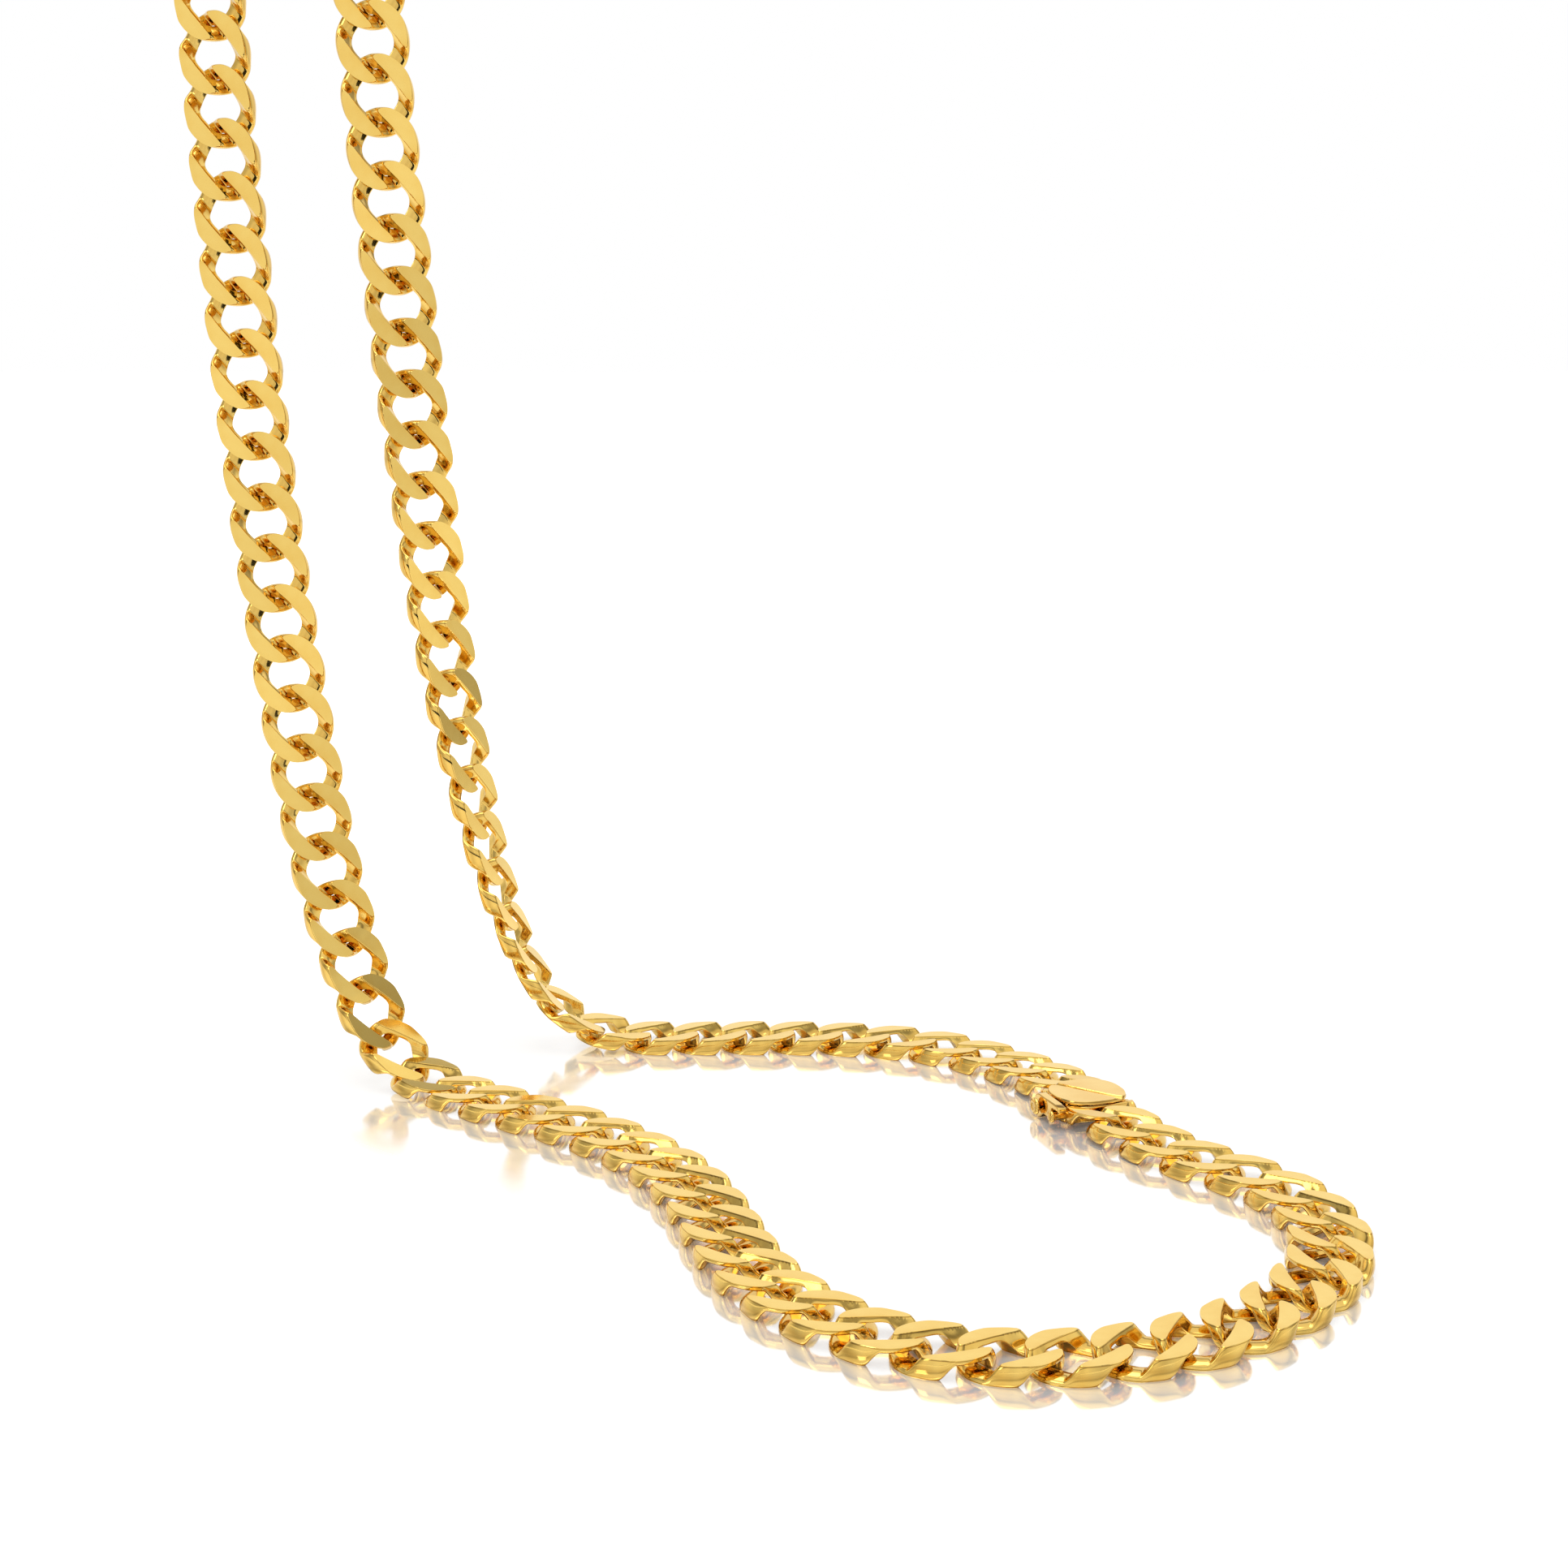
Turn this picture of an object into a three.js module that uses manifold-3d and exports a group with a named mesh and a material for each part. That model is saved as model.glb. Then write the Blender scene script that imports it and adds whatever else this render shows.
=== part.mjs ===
// A closed flat curb-chain necklace with diamond-cut links and a box clasp.
// It hangs from one point at the top: two strands come down to the table,
// and the rest lies as an open loop on it. Millimetres, +Z up.
import * as THREE from 'three';
import { mergeVertices } from 'three/addons/utils/BufferGeometryUtils.js';
import Module from 'manifold-3d';

const wasm = await Module();
wasm.setup();

// Sizes that drive everything else.
const PITCH = 5.75;          // distance from one link to the next
const LINK_WIDTH = 8.2;      // across the chain
const THICKNESS = 1.9;       // between the two ground faces
const WIRE = 1.6;            // wire of a link, seen from its face
const LINK_GAP = 0.4;        // play between two neighbouring links
const CLASP_WIDTH = 7.4;     // across the clasp box
const CLASP_THICKNESS = 2.8; // of the clasp box, so it stands a little proud of the chain
const SHEET = 0.55;          // wall of the clasp box
const CLEARANCE = 0.3;       // between the clasp's own parts

const POSITIONS = 106;       // link places round the necklace, two of them the clasp
const CLASP_AT = 32;         // first place the clasp takes
const PER_NODE = 2;          // links joined in one node

// The way the necklace lies, in link pitches from the point it hangs at:
// x, y, z, then the way the chain's upper face looks there.
const TABLE = -28.9;
const CLASP_LEVEL = TABLE + Math.max(0, CLASP_THICKNESS - THICKNESS) / 2 / PITCH;
const UP = [0, 0, 1];
const route = [
  // near run on the table, from the foot of the left strand
  [2.6, -3.0, TABLE, ...UP],
  [4.05, -4.35, TABLE, ...UP],
  [5.5, -5.45, TABLE, ...UP],
  [6.85, -6.85, TABLE, ...UP],
  [7.85, -8.55, TABLE, ...UP],
  [8.45, -10.45, TABLE, ...UP],
  [9.0, -12.4, TABLE, ...UP],
  [10.0, -14.1, TABLE, ...UP],
  [11.55, -15.3, TABLE, ...UP],
  [13.5, -15.65, TABLE, ...UP],
  [15.45, -15.15, TABLE, ...UP],
  [17.05, -13.95, TABLE, ...UP],
  [18.2, -12.25, TABLE, ...UP],
  [18.5, -10.35, TABLE, ...UP],
  [17.95, -8.6, TABLE, ...UP],
  [16.55, -7.05, TABLE, ...UP],
  // clasp, then the far run
  [15.65, -5.45, CLASP_LEVEL, ...UP],
  [15.05, -3.6, CLASP_LEVEL, ...UP],
  [14.05, -1.9, TABLE, ...UP],
  [12.5, -0.6, TABLE, ...UP],
  [10.55, -0.1, TABLE, ...UP],
  [8.55, -0.05, TABLE, ...UP],
  [6.55, -0.05, TABLE, ...UP],
  // right strand, edge-on below and face to the front above
  [5.65, 0, TABLE + 0.15, -0.2, 0, 1],
  [4.95, 0, TABLE + 0.55, 0.6, 0, 0.8],
  [4.35, 0, TABLE + 1.35, 1, -0.05, 0.5],
  [3.6, 0, TABLE + 3.4, 1, -0.25, 0.3],
  [2.8, 0, TABLE + 7.4, 0.85, -0.6, 0.1],
  [2.35, 0, TABLE + 11.35, 0.6, -0.8, 0],
  [2.0, 0, TABLE + 15.2, 0.3, -0.95, 0],
  [1.7, 0, TABLE + 18.85, 0.1, -1, 0],
  [1.55, 0, TABLE + 22.0, 0.15, -1, 0],
  [1.5, 0, TABLE + 25.0, 0.75, -0.6, 0],
  [1.65, 0, -1.75, 1, 0, 0.1],
  // over the top
  [1.2, 0, -0.5, 0.7, 0, 0.7],
  [0, 0, 0, 0, 0, 1],
  [-1.2, 0, -0.5, -0.7, 0, 0.7],
  [-1.65, 0, -1.75, -1, 0, 0.1],
  // left strand, face to the front
  [-1.5, 0, TABLE + 25.0, -0.75, -0.6, 0],
  [-1.5, 0, TABLE + 22.0, -0.25, -1, 0],
  [-1.35, -0.05, TABLE + 18.85, -0.2, -1, 0],
  [-1.1, -0.25, TABLE + 15.2, -0.1, -1, 0],
  [-0.75, -0.5, TABLE + 11.4, 0.05, -1, 0],
  [-0.25, -0.85, TABLE + 7.55, 0.2, -0.95, 0.05],
  [0.45, -1.35, TABLE + 3.7, 0.4, -0.85, 0.1],
  [1.05, -1.85, TABLE + 1.85, 0.6, -0.65, 0.3],
  [1.45, -2.2, TABLE + 0.95, 0.5, -0.5, 0.7],
  [1.85, -2.45, TABLE + 0.35, 0.2, -0.2, 1],
];

const curve = new THREE.CatmullRomCurve3(
  route.map(([x, y, z]) => new THREE.Vector3(x, y, z).multiplyScalar(PITCH)), true);
const faces = new THREE.CatmullRomCurve3(
  route.map(([, , , x, y, z]) => new THREE.Vector3(x, y, z)), true);
curve.arcLengthDivisions = 4000;
const UP_AXIS = new THREE.Vector3(0, 0, 1);

function placeAt(position) {
  const u = THREE.MathUtils.euclideanModulo(position / POSITIONS, 1);
  return curve.getPointAt(u);
}

function faceAt(position) {
  const u = THREE.MathUtils.euclideanModulo(position / POSITIONS, 1);
  return faces.getPoint(curve.getUtoTmapping(u));
}

// A frame with x along the chain from one place to another and z out of its face.
function frameBetween(from, to) {
  const a = placeAt(from);
  const b = placeAt(to);
  const x = b.clone().sub(a).normalize();
  const z = faceAt((from + to) / 2);
  z.addScaledVector(x, -z.dot(x)).normalize();
  const y = z.clone().cross(x);
  const frame = new THREE.Matrix4().makeBasis(x, y, z);
  return frame.setPosition(a.add(b).multiplyScalar(0.5));
}

const linkFrame = (i) => frameBetween(i - 0.5, i + 0.5);

// One curb link round its own centre: an oval of wire that rises in two
// opposite quarters and dips in the other two, ground flat on both faces.
const ROUND = 16;
const halfLength = (PITCH + LINK_GAP + WIRE) / 2;
const halfWidth = (LINK_WIDTH - WIRE) / 2;
const twist = 0.57 * THICKNESS;        // how far the wire's middle rises and dips
const lip = 0.272 / WIRE;              // a wider wire thins more towards the link's middle
const section = [[1, 0.24], [-1, lip], [-1, -lip], [1, -0.24]];

function linkGeometry() {
  const ring = new THREE.TorusGeometry(1, 0.3, section.length, ROUND);
  const spot = ring.attributes.position;
  for (let j = 0; j <= section.length; j++) {
    const [out, lift] = section[j % section.length];
    for (let i = 0; i <= ROUND; i++) {
      const a = (i / ROUND) * Math.PI * 2;
      const side = new THREE.Vector2(halfWidth * Math.cos(a), halfLength * Math.sin(a));
      side.normalize().multiplyScalar((out * WIRE) / 2);
      const rise = -Math.sin(2 * a) * twist + lift * THICKNESS;
      spot.setXYZ(
        j * (ROUND + 1) + i,
        halfLength * Math.cos(a) + side.x,
        halfWidth * Math.sin(a) + side.y,
        THREE.MathUtils.clamp(rise, -THICKNESS / 2, THICKNESS / 2));
    }
  }
  return ring;
}

function solid(geometry, matrix) {
  const plain = geometry.clone();
  plain.deleteAttribute('normal');
  plain.deleteAttribute('uv');
  plain.applyMatrix4(matrix ?? new THREE.Matrix4());
  const merged = mergeVertices(plain, 1e-4);
  return new wasm.Manifold(new wasm.Mesh({
    numProp: 3,
    vertProperties: new Float32Array(merged.attributes.position.array),
    triVerts: new Uint32Array(merged.index.array),
  }));
}

function geometryOf(manifold) {
  const { vertProperties, triVerts } = manifold.getMesh();
  const geometry = new THREE.BufferGeometry();
  geometry.setAttribute('position', new THREE.BufferAttribute(new Float32Array(vertProperties), 3));
  geometry.setIndex(new THREE.BufferAttribute(new Uint32Array(triVerts), 1));
  const flat = geometry.toNonIndexed();
  flat.computeVertexNormals();
  return flat;
}

function box(x0, x1, y0, y1, z0, z1) {
  const shape = new THREE.BoxGeometry(x1 - x0, y1 - y0, z1 - z0);
  shape.translate((x0 + x1) / 2, (y0 + y1) / 2, (z0 + z1) / 2);
  return solid(shape);
}

// A round bar along y.
function bar(radius, y0, y1, x, z, sides = 14) {
  const shape = new THREE.CylinderGeometry(radius, radius, y1 - y0, sides);
  shape.translate(x, (y0 + y1) / 2, z);
  return solid(shape);
}

const gold = new THREE.MeshStandardMaterial({ color: 0xe0a93a, roughness: 0.22, metalness: 1 });
const paleGold = new THREE.MeshStandardMaterial({ color: 0xf0c766, roughness: 0.18, metalness: 1 });

const necklace = new THREE.Group();
necklace.name = 'chain_necklace';

function addPart(name, manifold, frame, material) {
  const mesh = new THREE.Mesh(geometryOf(manifold), material);
  mesh.name = name;
  mesh.applyMatrix4(frame);
  necklace.add(mesh);
}

// Chain: each node holds neighbouring links, held together by a small bead of
// solder where their wires cross.
const link = linkGeometry();
const crossing = Math.acos(PITCH / 2 / halfLength);
const crossingSpot = new THREE.Vector3(
  PITCH / 2, halfWidth * Math.sin(crossing), -Math.sin(2 * crossing) * twist);

function bead(matrix, next) {
  const a = crossingSpot.clone().applyMatrix4(matrix);
  const b = crossingSpot.clone().multiply(new THREE.Vector3(-1, 1, -1)).applyMatrix4(next);
  const stick = new THREE.BoxGeometry(0.45 * WIRE, 0.45 * WIRE, 0.84 * a.distanceTo(b));
  const turn = new THREE.Quaternion().setFromUnitVectors(UP_AXIS, b.clone().sub(a).normalize());
  stick.applyQuaternion(turn);
  const middle = a.add(b).multiplyScalar(0.5);
  return solid(stick.translate(middle.x, middle.y, middle.z));
}

// The ring is opened at the foot of the left strand: there the first link on the
// table is cut short of the last link of the strand.
const CUT = -0.145 * PITCH;

function linkRun(first) {
  const frame = linkFrame(first);
  const inverse = frame.clone().invert();
  let last = new THREE.Matrix4();
  let run = first === 0 ? solid(link).trimByPlane([1, 0, 0], CUT) : solid(link);
  for (let k = 1; k < PER_NODE; k++) {
    const next = inverse.clone().multiply(linkFrame(first + k));
    run = run.add(solid(link, next)).add(bead(last, next));
    last = next;
  }
  return { run, frame };
}

const label = (i) => String(i).padStart(3, '0');

for (let i = 0; i < POSITIONS; i += PER_NODE) {
  if (i === CLASP_AT) continue;
  const { run, frame } = linkRun(i);
  addPart(`links_${label(i + 1)}_${label(i + PER_NODE)}`, run, frame, gold);
}

// Clasp, in a frame at its own middle with x along the chain: a box that ends
// in half a link, and a sprung tongue that ends in the other half and slides out.
const claspFrame = frameBetween(CLASP_AT - 0.5, CLASP_AT + 1.5);
const half = PITCH / 2;
const mouth = -0.3 * PITCH;            // open end of the box
const backWall = 0.6 * PITCH;
const claspSide = CLASP_WIDTH / 2;
const claspTop = CLASP_THICKNESS / 2;
const hollow = claspTop - SHEET;
const bladeHalf = hollow - CLEARANCE;
const bladeTip = backWall - SHEET - CLEARANCE;

const halfLink = (side) => solid(link).trimByPlane([side, 0, 0], 0).translate([side * half, 0, 0]);

const bore = hollow + 0.35;            // half width of the hollow seen from its mouth
const boxBody = box(mouth, backWall, -claspSide, claspSide, -claspTop, claspTop)
  .subtract(box(mouth - 1, backWall - SHEET, -1.7 * bore, 1.7 * bore, -hollow, hollow))
  .add(halfLink(1));

// Tongue: a cross bar, then a strip folded back over itself.
const foldedStrip = new THREE.Shape([
  new THREE.Vector2(mouth - 0.6, -bladeHalf),
  new THREE.Vector2(bladeTip, -bladeHalf),
  new THREE.Vector2(bladeTip, -0.25),
  new THREE.Vector2(mouth + 1.2, bladeHalf),
  new THREE.Vector2(mouth + 0.9, bladeHalf - 0.4),
  new THREE.Vector2(bladeTip - 1.2, -0.35),
  new THREE.Vector2(mouth - 0.6, -0.35),
]);
const blade = new THREE.ExtrudeGeometry(foldedStrip, { depth: 3, bevelEnabled: false });
blade.rotateX(Math.PI / 2).translate(0, 1.5, 0);
const crossBar = box(
  mouth - CLEARANCE - 0.24 * PITCH, mouth - CLEARANCE, -claspSide, claspSide, -0.9, 0.9);
const tongue = crossBar.add(solid(blade)).add(halfLink(-1));

// Safety catch: an arm on a pin at the side of the box that drops over a stud
// on the tongue's cross bar.
const ARM = 1.0;                       // thickness of the arm
const pinX = 0.18 * PITCH;
const studX = mouth - CLEARANCE - 0.13 * PITCH;
const armIn = Math.max(claspSide, LINK_WIDTH / 2) + CLEARANCE;
const armOut = armIn + ARM;
const pinRadius = 0.5;
const studRadius = 0.45;

const reach = studX - pinX;
const slot = studRadius + CLEARANCE;
const armShape = new THREE.Shape();
armShape.absarc(0, 0, 1.35, -Math.PI / 2, Math.PI / 2, false);
armShape.lineTo(reach, 1.35);
armShape.lineTo(reach - slot - 0.4, 1.2);
armShape.lineTo(reach - slot - 0.4, slot);
armShape.lineTo(reach + slot, slot);
armShape.lineTo(reach + slot, -0.6);
armShape.lineTo(-1.1, -0.6);
const armHole = new THREE.Path();
armHole.absarc(0, 0, pinRadius + CLEARANCE, 0, Math.PI * 2, true);
armShape.holes.push(armHole);
const arm = new THREE.ExtrudeGeometry(armShape, { depth: ARM, bevelEnabled: false, curveSegments: 6 });
arm.rotateX(Math.PI / 2).translate(pinX, armOut, 0);

const headRadius = 0.95;
const pin = bar(pinRadius, claspSide - 1.1, armOut + CLEARANCE + 0.1, pinX, 0)
  .add(bar(headRadius, armOut + CLEARANCE, armOut + CLEARANCE + 0.5, pinX, 0));
const pinSeat = bar(pinRadius + CLEARANCE / 2, claspSide - 1.3, claspSide + 1, pinX, 0);
const stud = bar(studRadius, claspSide - 0.2, armOut + 0.2, studX, 0)
  .add(bar(studRadius + 0.2, armOut + 0.2, armOut + 0.6, studX, 0));

addPart('clasp_box', boxBody.subtract(pinSeat), claspFrame, gold);
addPart('clasp_tongue', tongue.add(stud), claspFrame, gold);
addPart('safety_catch', solid(arm), claspFrame, paleGold);
addPart('catch_pin', pin, claspFrame, paleGold);

export default necklace;
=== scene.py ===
"""Looks of the diamond-cut curb-chain necklace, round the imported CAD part.

Metres, +Z up. The necklace hangs from one point at the origin, so the two
strands come down to the floor and the rest lies on it as an open loop.
"""
import math

import bmesh
import bpy
import numpy as np
from mathutils import Matrix, Vector


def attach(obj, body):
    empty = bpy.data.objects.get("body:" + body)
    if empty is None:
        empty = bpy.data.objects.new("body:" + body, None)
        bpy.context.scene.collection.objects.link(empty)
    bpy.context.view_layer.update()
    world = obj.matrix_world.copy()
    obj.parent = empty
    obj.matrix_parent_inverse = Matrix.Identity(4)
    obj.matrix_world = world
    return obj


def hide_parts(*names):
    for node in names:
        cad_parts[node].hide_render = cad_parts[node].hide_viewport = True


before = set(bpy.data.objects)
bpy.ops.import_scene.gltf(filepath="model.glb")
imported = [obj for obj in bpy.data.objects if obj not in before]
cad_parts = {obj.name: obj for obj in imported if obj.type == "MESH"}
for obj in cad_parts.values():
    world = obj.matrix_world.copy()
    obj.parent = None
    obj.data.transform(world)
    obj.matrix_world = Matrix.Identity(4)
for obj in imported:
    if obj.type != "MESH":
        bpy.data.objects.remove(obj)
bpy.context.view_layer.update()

MM = 0.001
PITCH = 5.75 * MM
POSITIONS = 106
CLASP_AT = 32
TABLE = -28.9                       # middle of the lying chain, in pitches
GROUND = 0.95 * MM                  # half the thickness, where the faces are ground
CLASP_LEVEL = TABLE + 0.45 * MM / PITCH   # the clasp is 0.9 mm thicker than the chain
FLOOR = TABLE * PITCH - GROUND

# ---------------------------------------------------------------- camera
CAMERA = Vector((54.9, -277.7, -80.25)) * MM
PITCH_DOWN = math.radians(11.2)

camera_data = bpy.data.cameras.new("camera")
camera_data.sensor_width = 36
camera_data.lens = 55.4
camera_data.clip_start = 0.01
camera = bpy.data.objects.new("camera", camera_data)
bpy.context.collection.objects.link(camera)
camera.location = CAMERA
camera.rotation_euler = (math.pi / 2 - PITCH_DOWN, 0, 0)
bpy.context.scene.camera = camera

# ---------------------------------------------------------------- the way the necklace lies
# x, y, z and the way the upper face looks, in pitches: the CAD part's route.
UP = (0, 0, 1)
ROUTE = [
    (2.6, -3.0, TABLE, *UP), (4.05, -4.35, TABLE, *UP), (5.5, -5.45, TABLE, *UP),
    (6.85, -6.85, TABLE, *UP), (7.85, -8.55, TABLE, *UP), (8.45, -10.45, TABLE, *UP),
    (9.0, -12.4, TABLE, *UP), (10.0, -14.1, TABLE, *UP), (11.55, -15.3, TABLE, *UP),
    (13.5, -15.65, TABLE, *UP), (15.45, -15.15, TABLE, *UP), (17.05, -13.95, TABLE, *UP),
    (18.2, -12.25, TABLE, *UP), (18.5, -10.35, TABLE, *UP), (17.95, -8.6, TABLE, *UP),
    (16.55, -7.05, TABLE, *UP), (15.65, -5.45, CLASP_LEVEL, *UP), (15.05, -3.6, CLASP_LEVEL, *UP),
    (14.05, -1.9, TABLE, *UP), (12.5, -0.6, TABLE, *UP), (10.55, -0.1, TABLE, *UP),
    (8.55, -0.05, TABLE, *UP), (6.55, -0.05, TABLE, *UP),
    # right strand
    (5.65, 0, TABLE + 0.15, -0.2, 0, 1), (4.95, 0, TABLE + 0.55, 0.6, 0, 0.8),
    (4.35, 0, TABLE + 1.35, 1, -0.05, 0.5), (3.6, 0, TABLE + 3.4, 1, -0.25, 0.3),
    (2.8, 0, TABLE + 7.4, 0.85, -0.6, 0.1), (2.35, 0, TABLE + 11.35, 0.6, -0.8, 0),
    (2.0, 0, TABLE + 15.2, 0.3, -0.95, 0), (1.7, 0, TABLE + 18.85, 0.1, -1, 0),
    (1.55, 0, TABLE + 22.0, 0.15, -1, 0), (1.5, 0, TABLE + 25.0, 0.75, -0.6, 0),
    (1.65, 0, -1.75, 1, 0, 0.1),
    # over the top
    (1.2, 0, -0.5, 0.7, 0, 0.7), (0, 0, 0, 0, 0, 1), (-1.2, 0, -0.5, -0.7, 0, 0.7),
    (-1.65, 0, -1.75, -1, 0, 0.1),
    # left strand
    (-1.5, 0, TABLE + 25.0, -0.75, -0.6, 0), (-1.5, 0, TABLE + 22.0, -0.25, -1, 0),
    (-1.35, -0.05, TABLE + 18.85, -0.2, -1, 0), (-1.1, -0.25, TABLE + 15.2, -0.1, -1, 0),
    (-0.75, -0.5, TABLE + 11.4, 0.05, -1, 0), (-0.25, -0.85, TABLE + 7.55, 0.2, -0.95, 0.05),
    (0.45, -1.35, TABLE + 3.7, 0.4, -0.85, 0.1), (1.05, -1.85, TABLE + 1.85, 0.6, -0.65, 0.3),
    (1.45, -2.2, TABLE + 0.95, 0.5, -0.5, 0.7), (1.85, -2.45, TABLE + 0.35, 0.2, -0.2, 1),
]
ROUTE = np.array(ROUTE, float)
STEPS = 4000


def spline(points, t):
    """A point of the closed centripetal Catmull-Rom curve through points."""
    count = len(points)
    place = count * t
    i = int(math.floor(place))
    w = place - i
    p0, p1, p2, p3 = (points[(i + k) % count] for k in (-1, 0, 1, 2))
    d0, d1, d2 = (np.dot(b - a, b - a) ** 0.25 for a, b in ((p0, p1), (p1, p2), (p2, p3)))
    d1 = d1 if d1 > 1e-4 else 1.0
    d0 = d0 if d0 > 1e-4 else d1
    d2 = d2 if d2 > 1e-4 else d1
    t1 = ((p1 - p0) / d0 - (p2 - p0) / (d0 + d1) + (p2 - p1) / d1) * d1
    t2 = ((p2 - p1) / d1 - (p3 - p1) / (d1 + d2) + (p3 - p2) / d2) * d1
    return (p1 + t1 * w + (-3 * p1 + 3 * p2 - 2 * t1 - t2) * w ** 2
            + (2 * p1 - 2 * p2 + t1 + t2) * w ** 3)


POINTS = ROUTE[:, :3] * PITCH
FACES = ROUTE[:, 3:]
samples = np.array([spline(POINTS, k / STEPS) for k in range(STEPS + 1)])
lengths = np.concatenate([[0], np.cumsum(np.linalg.norm(np.diff(samples, axis=0), axis=1))])


def share_at(position):
    """The curve's own parameter at a link position, by arc length."""
    target = (position / POSITIONS % 1) * lengths[-1]
    return float(np.interp(target, lengths, np.arange(STEPS + 1))) / STEPS


def frame_between(a, b):
    """The frame with x along the chain from position a to b and z out of its face."""
    pa, pb = (Vector(spline(POINTS, share_at(p))) for p in (a, b))
    x = (pb - pa).normalized()
    z = Vector(spline(FACES, share_at((a + b) / 2)))
    z = (z - x * z.dot(x)).normalized()
    y = z.cross(x)
    turned = Matrix((x, y, z)).transposed().to_4x4()
    turned.translation = (pa + pb) / 2
    return turned


def link_frame(i):
    return frame_between(i - 0.5, i + 0.5)


# ---------------------------------------------------------------- materials
def new_material(name):
    material = bpy.data.materials.new(name)
    material.use_nodes = True
    nodes = material.node_tree.nodes
    return material, nodes, material.node_tree.links, nodes["Principled BSDF"]


def new_ramp(nodes, rows):
    """A colour ramp from pairs of a place between 0 and 1 and a colour."""
    ramp = nodes.new("ShaderNodeValToRGB")
    stops = ramp.color_ramp.elements
    while len(stops) < len(rows):
        stops.new(0.5)
    for stop, (place, colour) in zip(stops, rows):
        stop.position = place
    for stop, (place, colour) in zip(stops, rows):
        stop.color = (*colour, 1)
    return ramp


def new_noise(nodes, links, vector, scale, detail):
    noise = nodes.new("ShaderNodeTexNoise")
    noise.inputs["Scale"].default_value = scale
    noise.inputs["Detail"].default_value = detail
    links.new(vector, noise.inputs["Vector"])
    return noise.outputs["Fac"]


def new_bump(nodes, links, height, strength, distance):
    bump = nodes.new("ShaderNodeBump")
    bump.inputs["Strength"].default_value = strength
    bump.inputs["Distance"].default_value = distance
    links.new(height, bump.inputs["Height"])
    return bump


def multiplied(nodes, links, a, b):
    """Two colours times each other."""
    mix = nodes.new("ShaderNodeMix")
    mix.data_type = "RGBA"
    mix.blend_type = "MULTIPLY"
    mix.inputs["Factor"].default_value = 1
    links.new(a, mix.inputs["A"])
    links.new(b, mix.inputs["B"])
    return mix.outputs["Result"]


def maths(nodes, links, operation, *values):
    """A Math node whose inputs are numbers or other nodes' outputs."""
    node = nodes.new("ShaderNodeMath")
    node.operation = operation
    for socket, value in zip(node.inputs, values):
        if isinstance(value, (int, float)):
            socket.default_value = value
        else:
            links.new(value, socket)
    return node.outputs[0]


# Painted shade by height, as a share of the top face's: the ground faces are left
# brightest, the walls under them are painted deeper as shade, darkest right under an edge.
PAINTED_SHADE_BY_HEIGHT = [(0.0, 0.72), (0.45, 0.92), (0.84, 0.92), (0.90, 0.50), (0.93, 0.45), (0.955, 1.0)]
SHADE_GREEN_POWER, SHADE_BLUE_POWER = 1.25, 1.6   # painted shade: a deeper shade is also a redder one
DRIFT_SCALE, DRIFT_FROM, DRIFT_TO = 240, 0.3, 0.7
MARKS_SCALE, MARKS_TURN = (900, 9000, 3000), 0.5
DENT_SCALE, DENT_STRENGTH, DENT_DEPTH = 420, 0.12, 0.05 * MM
SCRATCH_STRENGTH, SCRATCH_DEPTH = 0.05, 0.01 * MM


def polished_gold(name, low, high, rough, top):
    """Polished gold: the alloy's colour drifts a little, painted shade darkens it by height,
    and fine polishing marks and shallow unevenness break up the reflections."""
    material, nodes, links, shader = new_material(name)
    place = nodes.new("ShaderNodeTexCoord").outputs["Object"]
    shader.inputs["Metallic"].default_value = 1.0

    tint = new_ramp(nodes, [(DRIFT_FROM, low), (DRIFT_TO, high)])
    links.new(new_noise(nodes, links, place, DRIFT_SCALE, 3), tint.inputs["Fac"])
    parts = nodes.new("ShaderNodeSeparateXYZ")
    links.new(place, parts.inputs["Vector"])
    height = maths(nodes, links, "ABSOLUTE", parts.outputs["Z"])
    # painted shade: darker and redder down the walls, darkest right under a facet's edge
    painted_shade = new_ramp(nodes, [(share, (tone, tone ** SHADE_GREEN_POWER, tone ** SHADE_BLUE_POWER))
                             for share, tone in PAINTED_SHADE_BY_HEIGHT])
    links.new(maths(nodes, links, "DIVIDE", height, top), painted_shade.inputs["Fac"])
    # the drifting alloy colour times the painted shade
    shaded_tint = multiplied(nodes, links, tint.outputs["Color"], painted_shade.outputs["Color"])
    links.new(shaded_tint, shader.inputs["Base Color"])

    stretch = nodes.new("ShaderNodeMapping")
    stretch.inputs["Scale"].default_value = MARKS_SCALE
    stretch.inputs["Rotation"].default_value = (0, 0, MARKS_TURN)
    links.new(place, stretch.inputs["Vector"])
    marks = new_noise(nodes, links, stretch.outputs["Vector"], 1, 2)
    gloss = nodes.new("ShaderNodeMapRange")
    gloss.inputs["To Min"].default_value, gloss.inputs["To Max"].default_value = rough
    links.new(marks, gloss.inputs["Value"])
    links.new(gloss.outputs["Result"], shader.inputs["Roughness"])

    dents = new_noise(nodes, links, place, DENT_SCALE, 1)
    wave = new_bump(nodes, links, dents, DENT_STRENGTH, DENT_DEPTH)
    scratch = new_bump(nodes, links, marks, SCRATCH_STRENGTH, SCRATCH_DEPTH)
    links.new(wave.outputs["Normal"], scratch.inputs["Normal"])
    links.new(scratch.outputs["Normal"], shader.inputs["Normal"])
    return material


CLASP_TOP = 1.4 * MM                # half the thickness of the clasp
gold = polished_gold("gold", (0.93, 0.58, 0.12), (1.0, 0.71, 0.20), (0.06, 0.14), GROUND)
clasp_gold = polished_gold("clasp_gold", (0.92, 0.57, 0.13), (1.0, 0.69, 0.21), (0.05, 0.12),
                           CLASP_TOP)

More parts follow.
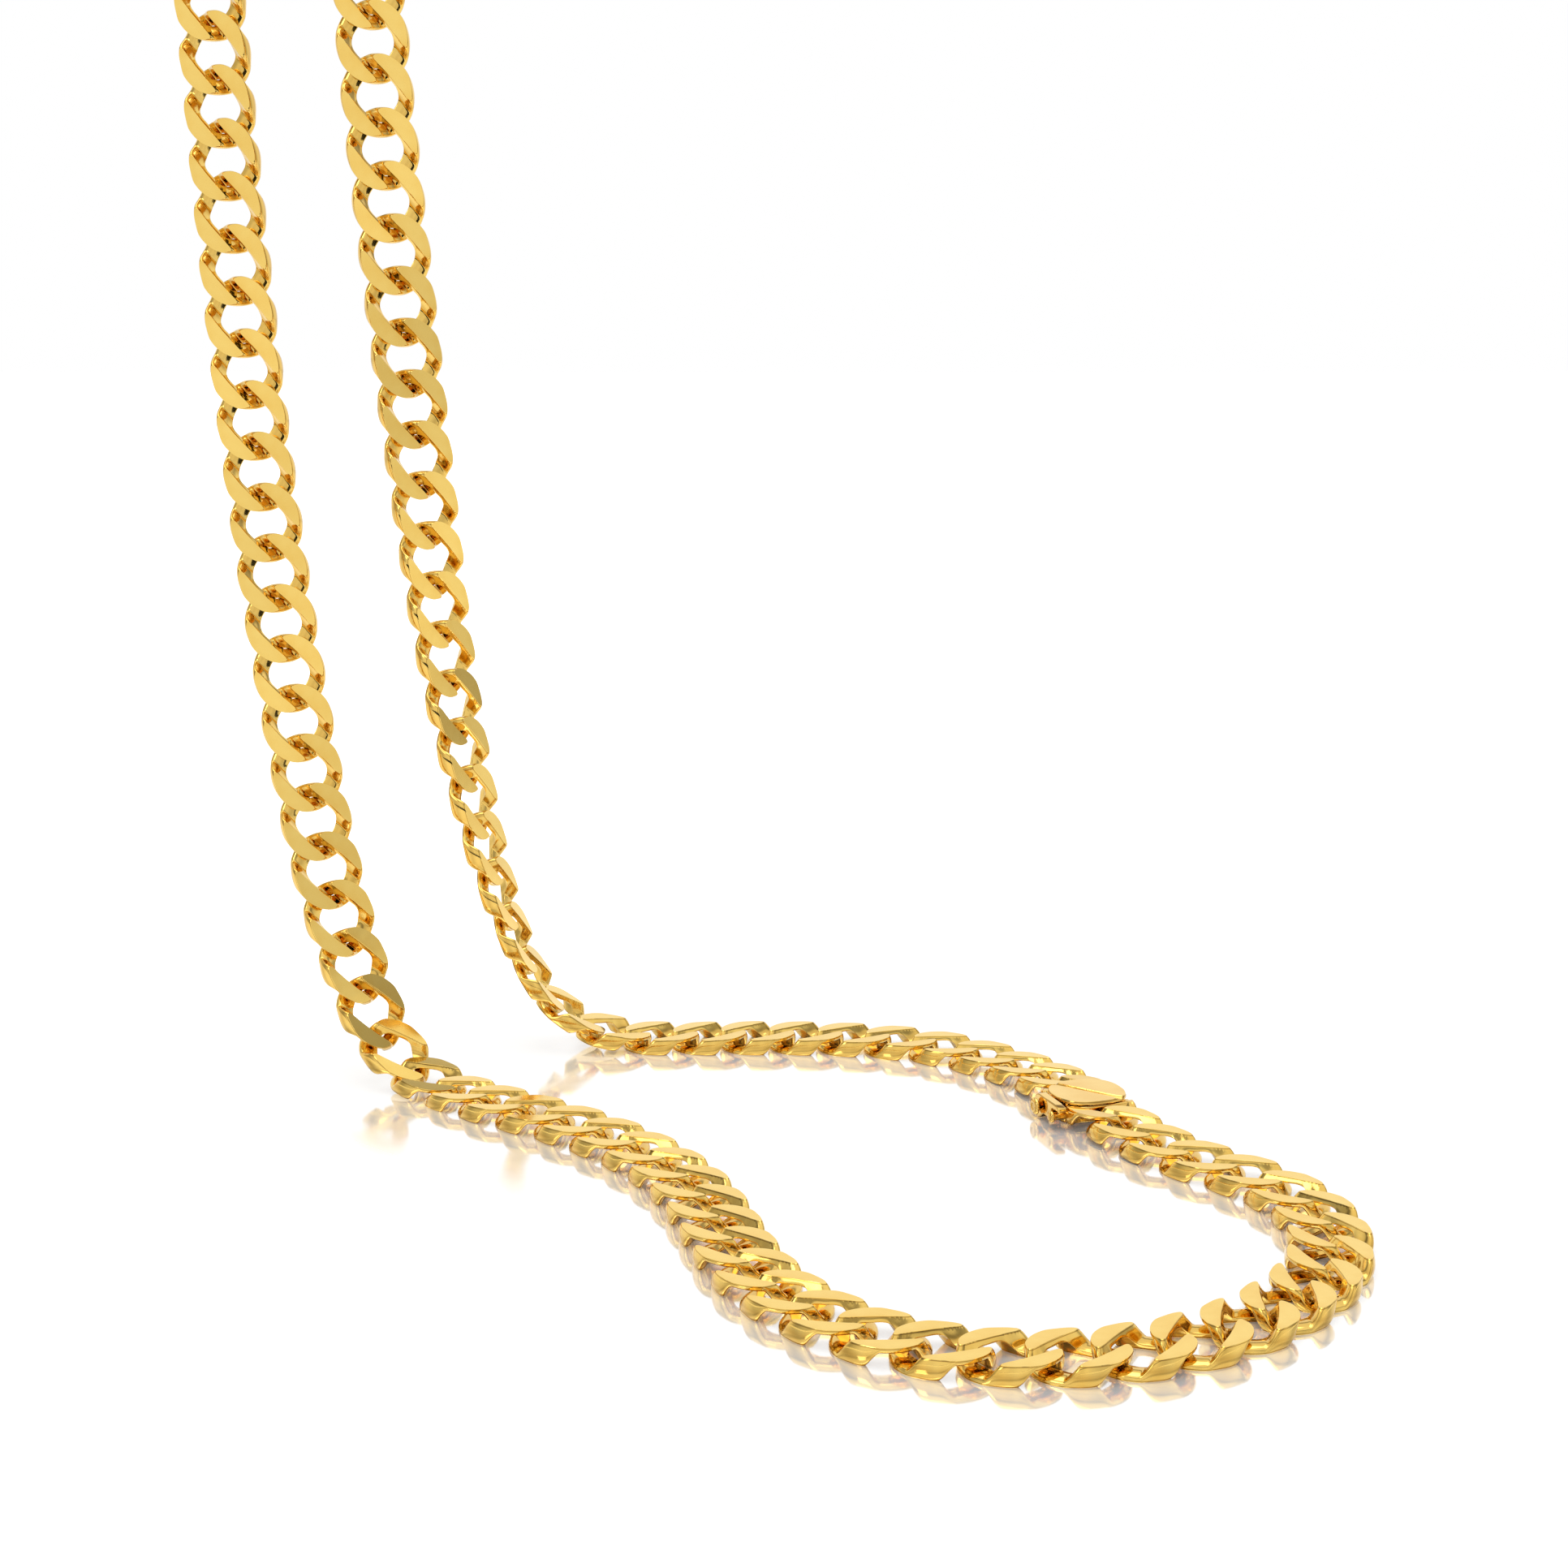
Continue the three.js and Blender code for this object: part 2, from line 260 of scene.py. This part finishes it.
# ---------------------------------------------------------------- one link
OUTER_LENGTH = 0.79 * PITCH         # half the link along the chain
OUTER_WIDTH = 0.71 * PITCH          # and across it
CHORD = 0.405 * PITCH               # from the link's middle to a facet's straight edge
FOOT = 0.27 * PITCH                 # where the wall under that edge runs out
ACROSS = (0.594, 0.805)             # square to that edge
LOW = -0.22 * MM                    # upper side of the wire where it dips
CROWN = 0.45 * MM                   # what was ground off over the facets
STEEP = 1.6                         # how fast the wire swells past a facet's edge
WALL_CURVE = 1.25                   # 1 is a straight slope under a facet's edge
BEVEL = 0.08 * MM                   # softened edge round a facet
SQUARE = 2.1                        # 2 is a round wire, more is squarer
HALF_WIRE = 0.1425 * PITCH          # at the ends of the link
SIDE_SWELL = 0.0125 * PITCH         # what the wire gains at the link's sides
FACET_SWELL = 0.03 * PITCH          # and in its four quarters
AROUND, SECTION = 144, 28           # steps round the link and round the wire


def power(value, exponent):
    return math.copysign(abs(value) ** exponent, value)


def upper_side(distance):
    """Height of the wire's upper side at a distance from the link's diagonal."""
    distance = abs(distance)
    if distance > CHORD:
        return GROUND + CROWN * (1 - math.exp(-STEEP * (distance - CHORD) / CROWN))
    rise = max(0.0, (distance - FOOT) / (CHORD - FOOT))
    return LOW + (GROUND - LOW) * rise ** WALL_CURVE


def wire_point(a, b):
    """A point on the skin of the wire: a runs round the link, b round the wire."""
    out = Vector((OUTER_WIDTH * math.cos(a), OUTER_LENGTH * math.sin(a), 0)).normalized()
    half = HALF_WIRE + SIDE_SWELL * math.sin(a) ** 2 + FACET_SWELL * math.sin(2 * a) ** 2
    spot = Vector((OUTER_LENGTH * math.cos(a), OUTER_WIDTH * math.sin(a), 0))
    spot -= out * half * (1 - power(math.cos(b), 2 / SQUARE))
    top = upper_side(ACROSS[0] * spot.x - ACROSS[1] * spot.y)
    bottom = -upper_side(ACROSS[0] * spot.x + ACROSS[1] * spot.y)
    spot.z = (top + bottom + power(math.sin(b), 2 / SQUARE) * (top - bottom)) / 2
    return spot


def ring_mesh():
    """The wire of a link as a closed tube."""
    bm = bmesh.new()
    rings = [[bm.verts.new(wire_point(2 * math.pi * i / AROUND, 2 * math.pi * j / SECTION))
              for j in range(SECTION)] for i in range(AROUND)]
    for i in range(AROUND):
        a, b = rings[i], rings[(i + 1) % AROUND]
        for j in range(SECTION):
            k = (j + 1) % SECTION
            bm.faces.new((a[j], b[j], b[k], a[k]))
    bmesh.ops.recalc_face_normals(bm, faces=bm.faces)
    return bm


def slice_off(bm, point, outward):
    """Cuts away what lies outside a plane, closes the cut and returns its edges."""
    cut = bmesh.ops.bisect_plane(
        bm, geom=bm.verts[:] + bm.edges[:] + bm.faces[:], plane_co=point, plane_no=outward,
        clear_outer=True, dist=1e-7)
    edges = [edge for edge in cut["geom_cut"] if isinstance(edge, bmesh.types.BMEdge)]
    bmesh.ops.holes_fill(bm, edges=edges, sides=0)
    return edges


def bevelled(bm, edges, width, segments=2):
    bmesh.ops.bevel(bm, geom=edges, offset=width, segments=segments, profile=0.6,
                    affect="EDGES", clamp_overlap=True)


FACET_CORNERS = 12                  # a face with more corners than this is a ground facet


def grind(bm, height):
    """Cuts flat facets at plus and minus height and softens their edges."""
    for sign in (1, -1):
        slice_off(bm, (0, 0, sign * height), (0, 0, sign))
    bm.normal_update()
    rim = []
    for edge in bm.edges:
        flat = [abs(face.normal.z) > 0.9999 and abs(abs(face.calc_center_median().z) - height)
                < 1e-6 for face in edge.link_faces]
        if sum(flat) == 1:
            rim.append(edge)
    bevelled(bm, rim, BEVEL)


def finish_mesh(bm, name, material):
    """Smooth walls and truly flat facets."""
    bm.normal_update()
    for face in bm.faces:
        face.smooth = not (len(face.verts) > FACET_CORNERS and abs(face.normal.z) > 0.999)
    mesh = bpy.data.meshes.new(name)
    bm.to_mesh(mesh)
    bm.free()
    mesh.materials.append(material)
    return mesh


def link_mesh():
    bm = ring_mesh()
    grind(bm, GROUND)
    return finish_mesh(bm, "curb_link", gold)


def place_piece(name, mesh, matrix, body, node=None):
    """A piece of the necklace on its body, standing for a CAD node if one is named."""
    piece = bpy.data.objects.new(name, mesh)
    bpy.context.collection.objects.link(piece)
    piece.matrix_world = matrix
    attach(piece, body)
    if node:
        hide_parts(node)


link = link_mesh()
for i in range(POSITIONS):
    if CLASP_AT <= i < CLASP_AT + 2:
        continue
    first = i - i % 2
    run = f"{first + 1:03d}_{first + 2:03d}"
    place_piece(f"link_{i + 1:03d}", link, link_frame(i), f"run_{run}", f"links_{run}")

# ---------------------------------------------------------------- clasp
# In the clasp's own frame: x along the chain, y to the inside of the loop, z up.
CLASP = frame_between(CLASP_AT - 0.5, CLASP_AT + 1.5)
HALF = PITCH / 2                    # middle of the half link at either end
MOUTH, BACK = -0.3 * PITCH, 0.6 * PITCH
SIDE = 3.7 * MM                     # half the width of the box
HOLLOW = 0.85 * MM                  # half the height inside it
HOLLOW_SIDE = 2.05 * MM             # and half the width
SHEET = 0.55 * MM                   # wall at its back
GAP = 0.3 * MM                      # play between the clasp's own parts
PIN_X = 0.18 * PITCH
STUD_X = MOUTH - GAP - 0.13 * PITCH
ARM_IN, ARM_OUT = 4.4 * MM, 5.4 * MM
COVER_X, COVER_LENGTH, COVER_WIDTH, COVER_LOW = 0.4 * MM, 3.9 * MM, 4.1 * MM, 1.02 * MM
GROOVE = 0.36 * MM                  # half the groove between the cover's two facets
GROOVE_DEPTH = 0.3 * MM
COVER_CROWN = 0.5 * MM              # what was ground off over the cover's facets
COVER_REACH = 0.3 * MM              # how soon past the groove it rises
COVER_ROUND = 7                     # more is a squarer rim


def plain_mesh(bm, name):
    mesh = bpy.data.meshes.new(name)
    bm.to_mesh(mesh)
    bm.free()
    return mesh


def clasp_piece(name, bm, body, node=None):
    """Faces square to the clasp stay flat, bevels and rounds are smooth."""
    bm.normal_update()
    mesh = plain_mesh(bm, name)
    for face in mesh.polygons:
        face.use_smooth = max(abs(part) for part in face.normal) < 0.999
    mesh.materials.append(clasp_gold)
    place_piece(name, mesh, CLASP, body, node)


def prism(outline, low, high, along):
    """An outline in the plane square to axis 'along' (1 is y, 2 is z), made thick."""
    bm = bmesh.new()

    def corner(u, v, w):
        return bm.verts.new((u, w, v) if along == 1 else (u, v, w))

    lower = [corner(u, v, low) for u, v in outline]
    upper = [corner(u, v, high) for u, v in outline]
    bm.faces.new(lower)
    bm.faces.new(upper)
    for k in range(len(outline)):
        n = (k + 1) % len(outline)
        bm.faces.new((lower[k], lower[n], upper[n], upper[k]))
    bmesh.ops.recalc_face_normals(bm, faces=bm.faces)
    return bm


def soften(bm, width, segments=3, sharper_than=0.6):
    """Bevels the edges whose faces turn by more than an angle."""
    bm.normal_update()
    bevelled(bm, [edge for edge in bm.edges
                  if edge.is_manifold and edge.calc_face_angle() > sharper_than],
             width, segments)
    return bm


def turned(profile, x, steps=32):
    """A turned piece about a line along y: profile is pairs of y and radius, in mm."""
    bm = bmesh.new()
    angles = [2 * math.pi * k / steps for k in range(steps)]
    rings = [[bm.verts.new((x + radius * MM * math.cos(a), y * MM, radius * MM * math.sin(a)))
              for a in angles] for y, radius in profile]
    for a, b in zip(rings, rings[1:]):
        for k in range(steps):
            n = (k + 1) % steps
            bm.faces.new((a[k], a[n], b[n], b[k]))
    bm.faces.new(rings[0])
    bm.faces.new(rings[-1])
    bmesh.ops.recalc_face_normals(bm, faces=bm.faces)
    return bm


def rounded(half_length, half_width, power_of, x=0, steps=64):
    """A superellipse outline."""
    return [(x + half_length * power(math.cos(a), 2 / power_of),
             half_width * power(math.sin(a), 2 / power_of))
            for a in (2 * math.pi * k / steps for k in range(steps))]


def half_link(side):
    """The half of a link that is made in one with the clasp."""
    bm = ring_mesh()
    slice_off(bm, (0, 0, 0), (-side, 0, 0))
    grind(bm, GROUND)
    return finish_mesh(bm, "half_link", clasp_gold)


def cover():
    """The lid of the box, cut like one wide link with two facets."""
    bm = bmesh.new()
    spokes, rings = 96, 26
    rows = []
    for share in (math.sin(math.pi / 2 * k / rings) for k in range(rings + 1)):
        row = []
        for u, v in rounded(COVER_LENGTH * share, COVER_WIDTH * share, 2.5, 0, spokes):
            distance = abs(ACROSS[0] * u - ACROSS[1] * v)
            if distance > GROOVE:
                swell = 1 - math.exp(-(distance - GROOVE) / COVER_REACH)
                height = CLASP_TOP + COVER_CROWN * swell
            else:
                height = CLASP_TOP - GROOVE_DEPTH * (1 - distance / GROOVE)
            edge = max(0.0, 1 - share ** COVER_ROUND) ** 0.5
            row.append(bm.verts.new((u, v, COVER_LOW + (height - COVER_LOW) * edge)))
            if share == 0:
                break
        rows.append(row)
    for a, b in zip(rows[1:], rows[2:]):
        for k in range(spokes):
            n = (k + 1) % spokes
            bm.faces.new((a[k], b[k], b[n], a[n]))
    for k in range(spokes):
        bm.faces.new((rows[0][0], rows[1][k], rows[1][(k + 1) % spokes]))
    bm.faces.new(list(reversed(rows[-1])))
    bmesh.ops.recalc_face_normals(bm, faces=bm.faces)
    edges = slice_off(bm, (0, 0, CLASP_TOP), (0, 0, 1))
    bm.normal_update()
    bevelled(bm, [edge for edge in edges if edge.is_valid and edge.is_manifold
                  and max(len(face.verts) for face in edge.link_faces) > FACET_CORNERS], BEVEL)
    bmesh.ops.translate(bm, verts=bm.verts, vec=(COVER_X, 0, 0))
    return bm


def case():
    """The box: rounded outside, hollow inside, open at its mouth."""
    outline = rounded((BACK - MOUTH) / 2 + 0.05 * MM, SIDE, 6, (MOUTH + BACK) / 2)
    outer = soften(prism(outline, -CLASP_TOP, COVER_LOW + 0.1 * MM, 2), 0.22 * MM,
                   sharper_than=1.0)
    start, end = MOUTH - 1 * MM, BACK - SHEET
    inner = prism([(start, -HOLLOW_SIDE), (end, -HOLLOW_SIDE), (end, HOLLOW_SIDE),
                   (start, HOLLOW_SIDE)], -HOLLOW, HOLLOW, 2)
    solid = bpy.data.objects.new("case", plain_mesh(outer, "case"))
    tool = bpy.data.objects.new("hollow", plain_mesh(inner, "hollow"))
    for thing in (solid, tool):
        bpy.context.collection.objects.link(thing)
    cutter = solid.modifiers.new("hollow", "BOOLEAN")
    cutter.operation = "DIFFERENCE"
    cutter.solver = "EXACT"
    cutter.object = tool
    made = bpy.data.meshes.new_from_object(
        solid.evaluated_get(bpy.context.evaluated_depsgraph_get()))
    made.materials.clear()
    for thing in (solid, tool):
        bpy.data.objects.remove(thing)
    bm = bmesh.new()
    bm.from_mesh(made)
    return bm


clasp_piece("clasp_case", case(), "clasp_box", "clasp_box")
clasp_piece("clasp_cover", cover(), "clasp_box")
for name, side, body in (("clasp_far_loop", 1, "clasp_box"),
                         ("clasp_near_loop", -1, "clasp_tongue")):
    place_piece(name, half_link(side), CLASP @ Matrix.Translation((side * HALF, 0, 0)), body)

BAR = 0.12 * PITCH                  # half the tongue's cross bar along the chain
bar = prism(rounded(BAR, SIDE, 5, MOUTH - GAP - BAR), -0.9 * MM, 0.9 * MM, 2)
clasp_piece("tongue_bar", soften(bar, 0.25 * MM, sharper_than=1.0), "clasp_tongue",
            "clasp_tongue")

# the spring: a strip folded back over itself
STRIP_TOP, STRIP_TIP, STRIP_SIDE = HOLLOW - GAP, BACK - SHEET - GAP, 1.5 * MM
strip = [(MOUTH - 0.6 * MM, -STRIP_TOP), (STRIP_TIP, -STRIP_TOP), (STRIP_TIP, -0.25 * MM),
         (MOUTH + 1.2 * MM, STRIP_TOP), (MOUTH + 0.9 * MM, STRIP_TOP - 0.4 * MM),
         (STRIP_TIP - 1.2 * MM, -0.35 * MM), (MOUTH - 0.6 * MM, -0.35 * MM)]
clasp_piece("tongue_spring", soften(prism(strip, -STRIP_SIDE, STRIP_SIDE, 1), 0.05 * MM, 2),
            "clasp_tongue")
STUD = [(3.5, 0.45), (5.35, 0.45), (5.45, 0.5), (5.5, 0.6), (5.62, 0.65), (5.76, 0.64),
        (5.88, 0.55), (5.96, 0.38), (6.0, 0.15)]
clasp_piece("tongue_stud", turned(STUD, STUD_X), "clasp_tongue")

KNUCKLE = 1.35 * MM                 # radius of the catch round its pin
SLOT = 0.75 * MM                    # half the catch's slot for the stud
FINGER = STUD_X - SLOT - 0.4 * MM   # free end of the catch
arm = [(PIN_X + KNUCKLE * math.cos(a), KNUCKLE * math.sin(a))
       for a in (math.pi * (k / 12 - 0.5) for k in range(13))]
arm += [(STUD_X, KNUCKLE), (FINGER, 1.2 * MM), (FINGER, SLOT), (STUD_X + SLOT, SLOT),
        (STUD_X + SLOT, -0.6 * MM), (PIN_X - 1.1 * MM, -0.6 * MM)]
clasp_piece("catch_arm", soften(prism(arm, ARM_IN, ARM_OUT, 1), 0.16 * MM), "safety_catch",
            "safety_catch")
RIVET = [(2.6, 0.5), (5.72, 0.5), (5.73, 0.9), (5.8, 0.95), (5.95, 0.93), (6.08, 0.82),
         (6.15, 0.6), (6.17, 0.42), (6.12, 0.36), (6.08, 0.2)]
clasp_piece("catch_rivet", turned(RIVET, PIN_X), "clasp_box", "catch_pin")

# ---------------------------------------------------------------- stage
# The floor is glossy under the necklace and turns matt away from it.
REACH = 3.0                         # half the floor, in metres
GLOSSY_TO, MATT_FROM = 9 * MM, 29 * MM   # distance from the lying chain


def spread(near, far, cells):
    """Grid lines: fine from near to far, then a few out to the floor's edge."""
    return [-REACH, -0.3 * REACH, *np.linspace(near, far, cells), 0.3 * REACH, REACH]


bm = bmesh.new()
verts = [[bm.verts.new((x, y, 0)) for y in spread(-0.2, 0.1, 121)]
         for x in spread(-0.08, 0.2, 113)]
for row, following in zip(verts, verts[1:]):
    for k in range(len(row) - 1):
        bm.faces.new((row[k], following[k], following[k + 1], row[k + 1]))
floor_mesh = plain_mesh(bm, "floor")
lying = samples[samples[:, 2] < (TABLE + 0.6) * PITCH][:, :2]
sheen = floor_mesh.attributes.new("sheen", "FLOAT", "POINT")
for vertex, value in zip(floor_mesh.vertices, sheen.data):
    away = float(np.min(np.hypot(lying[:, 0] - vertex.co.x, lying[:, 1] - vertex.co.y)))
    fade = min(1.0, max(0.0, (away - GLOSSY_TO) / (MATT_FROM - GLOSSY_TO)))
    value.value = 1 - fade * fade * (3 - 2 * fade)
floor = bpy.data.objects.new("floor", floor_mesh)
bpy.context.collection.objects.link(floor)
floor.location = (0, 0, FLOOR)
floor_material, nodes, links, shader = new_material("floor")
shader.inputs["Base Color"].default_value = (0.97, 0.97, 0.97, 1)
shader.inputs["Emission Color"].default_value = (1, 1, 1, 1)
sheen_at = nodes.new("ShaderNodeAttribute")
sheen_at.attribute_name = "sheen"


def by_sheen(matt, glossy):
    level = nodes.new("ShaderNodeMapRange")
    level.inputs["To Min"].default_value = matt
    level.inputs["To Max"].default_value = glossy
    links.new(sheen_at.outputs["Fac"], level.inputs["Value"])
    return level.outputs["Result"]


links.new(by_sheen(0.0, 0.6), shader.inputs["Metallic"])
links.new(by_sheen(0.75, 0.09), shader.inputs["Roughness"])
# a glow whitens the floor without lighting the gold
seen = nodes.new("ShaderNodeLightPath").outputs["Is Camera Ray"]
links.new(maths(nodes, links, "MULTIPLY", by_sheen(0.55, 0.07), seen),
          shader.inputs["Emission Strength"])
floor_mesh.materials.append(floor_material)


def area_light(name, place, size, watts):
    """A soft light turned to the middle of the necklace."""
    data = bpy.data.lights.new(name, "AREA")
    data.shape = "RECTANGLE"
    data.size = data.size_y = size
    data.energy = watts
    lamp = bpy.data.objects.new(name, data)
    bpy.context.collection.objects.link(lamp)
    lamp.location = place
    lamp.rotation_euler = (MIDDLE - Vector(place)).to_track_quat("-Z", "Y").to_euler()


def card(name, x0, x1, y0, y1, level):
    """A card flat over the floor that only shows in reflections."""
    z = FLOOR + 2 * MM
    mesh = bpy.data.meshes.new(name)
    mesh.from_pydata([(x0, y0, z), (x1, y0, z), (x1, y1, z), (x0, y1, z)], [], [(0, 1, 2, 3)])
    made = bpy.data.objects.new(name, mesh)
    bpy.context.collection.objects.link(made)
    material, nodes, links, shader = new_material(name)
    glow = nodes.new("ShaderNodeEmission")
    glow.inputs["Color"].default_value = (level, level, level, 1)
    links.new(glow.outputs["Emission"], nodes["Material Output"].inputs["Surface"])
    mesh.materials.append(material)
    made.visible_camera = made.visible_diffuse = made.visible_shadow = False
    made.visible_transmission = made.visible_volume_scatter = False


card("front_flag", -0.5, 0.6, -0.6, -0.16, 0.02)

MIDDLE = Vector((0.05, -0.05, -0.12))
area_light("top", (0.0, 0.0, 0.8), 0.8, 3.0)
area_light("key", (-0.7, -0.7, 0.5), 0.35, 0.9)

# The room: white panels with darker gaps, so that the polished walls of the links have
# something to draw their edges with. Degrees round from -Y, then brightness.
PANELS = [
    (-180, 1.0), (-118, 1.0), (-106, 0.75), (-97, 0.48), (-86, 0.36), (-75, 0.50),
    (-60, 0.75), (-48, 1.0), (-36, 0.86), (-26, 0.90), (-17, 1.0), (-8, 0.84), (2, 0.88),
    (10, 1.0), (18, 0.86), (27, 0.78), (38, 0.66), (48, 0.70), (64, 0.86), (80, 1.0),
    (92, 0.9), (100, 0.55), (106, 0.38), (112, 0.55), (122, 0.85), (136, 1.0), (180, 1.0),
]
# A darker belt round the room: sine of the height over the horizon, then brightness.
BANDS = [(-1.0, 1.0), (0.47, 1.0), (0.53, 0.40), (0.60, 0.40), (0.66, 1.0), (1.0, 1.0)]
world = bpy.data.worlds.new("studio")
bpy.context.scene.world = world
world.use_nodes = True
nodes, links = world.node_tree.nodes, world.node_tree.links


def greys(rows):
    return [(place, (level, level, level)) for place, level in rows]


direction = nodes.new("ShaderNodeTexCoord")
split = nodes.new("ShaderNodeSeparateXYZ")
links.new(direction.outputs["Generated"], split.inputs["Vector"])
east, north, height = split.outputs
south = maths(nodes, links, "MULTIPLY", north, -1.0)
turn = maths(nodes, links, "DIVIDE", maths(nodes, links, "ARCTAN2", east, south), 2 * math.pi)
panels = new_ramp(nodes, greys([((degrees + 180) / 360, level) for degrees, level in PANELS]))
panels.color_ramp.interpolation = "B_SPLINE"
links.new(maths(nodes, links, "ADD", turn, 0.5), panels.inputs["Fac"])
belt = new_ramp(nodes, greys([((sine + 1) / 2, level) for sine, level in BANDS]))
links.new(maths(nodes, links, "MULTIPLY_ADD", height, 0.5, 0.5), belt.inputs["Fac"])
walls = multiplied(nodes, links, panels.outputs["Color"], belt.outputs["Color"])
overhead = nodes.new("ShaderNodeMapRange")
overhead.interpolation_type = "SMOOTHSTEP"
overhead.inputs["From Min"].default_value = 0.55
overhead.inputs["From Max"].default_value = 0.85
links.new(height, overhead.inputs["Value"])


def whitened(colour, factor):
    """A colour that turns white as factor goes from 0 to 1."""
    mix = nodes.new("ShaderNodeMix")
    mix.data_type = "RGBA"
    mix.inputs["B"].default_value = (1, 1, 1, 1)
    links.new(factor, mix.inputs["Factor"])
    links.new(colour, mix.inputs["A"])
    return mix.outputs["Result"]


room = whitened(walls, overhead.outputs["Result"])
seen = nodes.new("ShaderNodeLightPath").outputs["Is Camera Ray"]
background = nodes["Background"]
links.new(whitened(room, seen), background.inputs["Color"])
background.inputs["Strength"].default_value = 1.0
bpy.context.scene.view_settings.view_transform = "Standard"
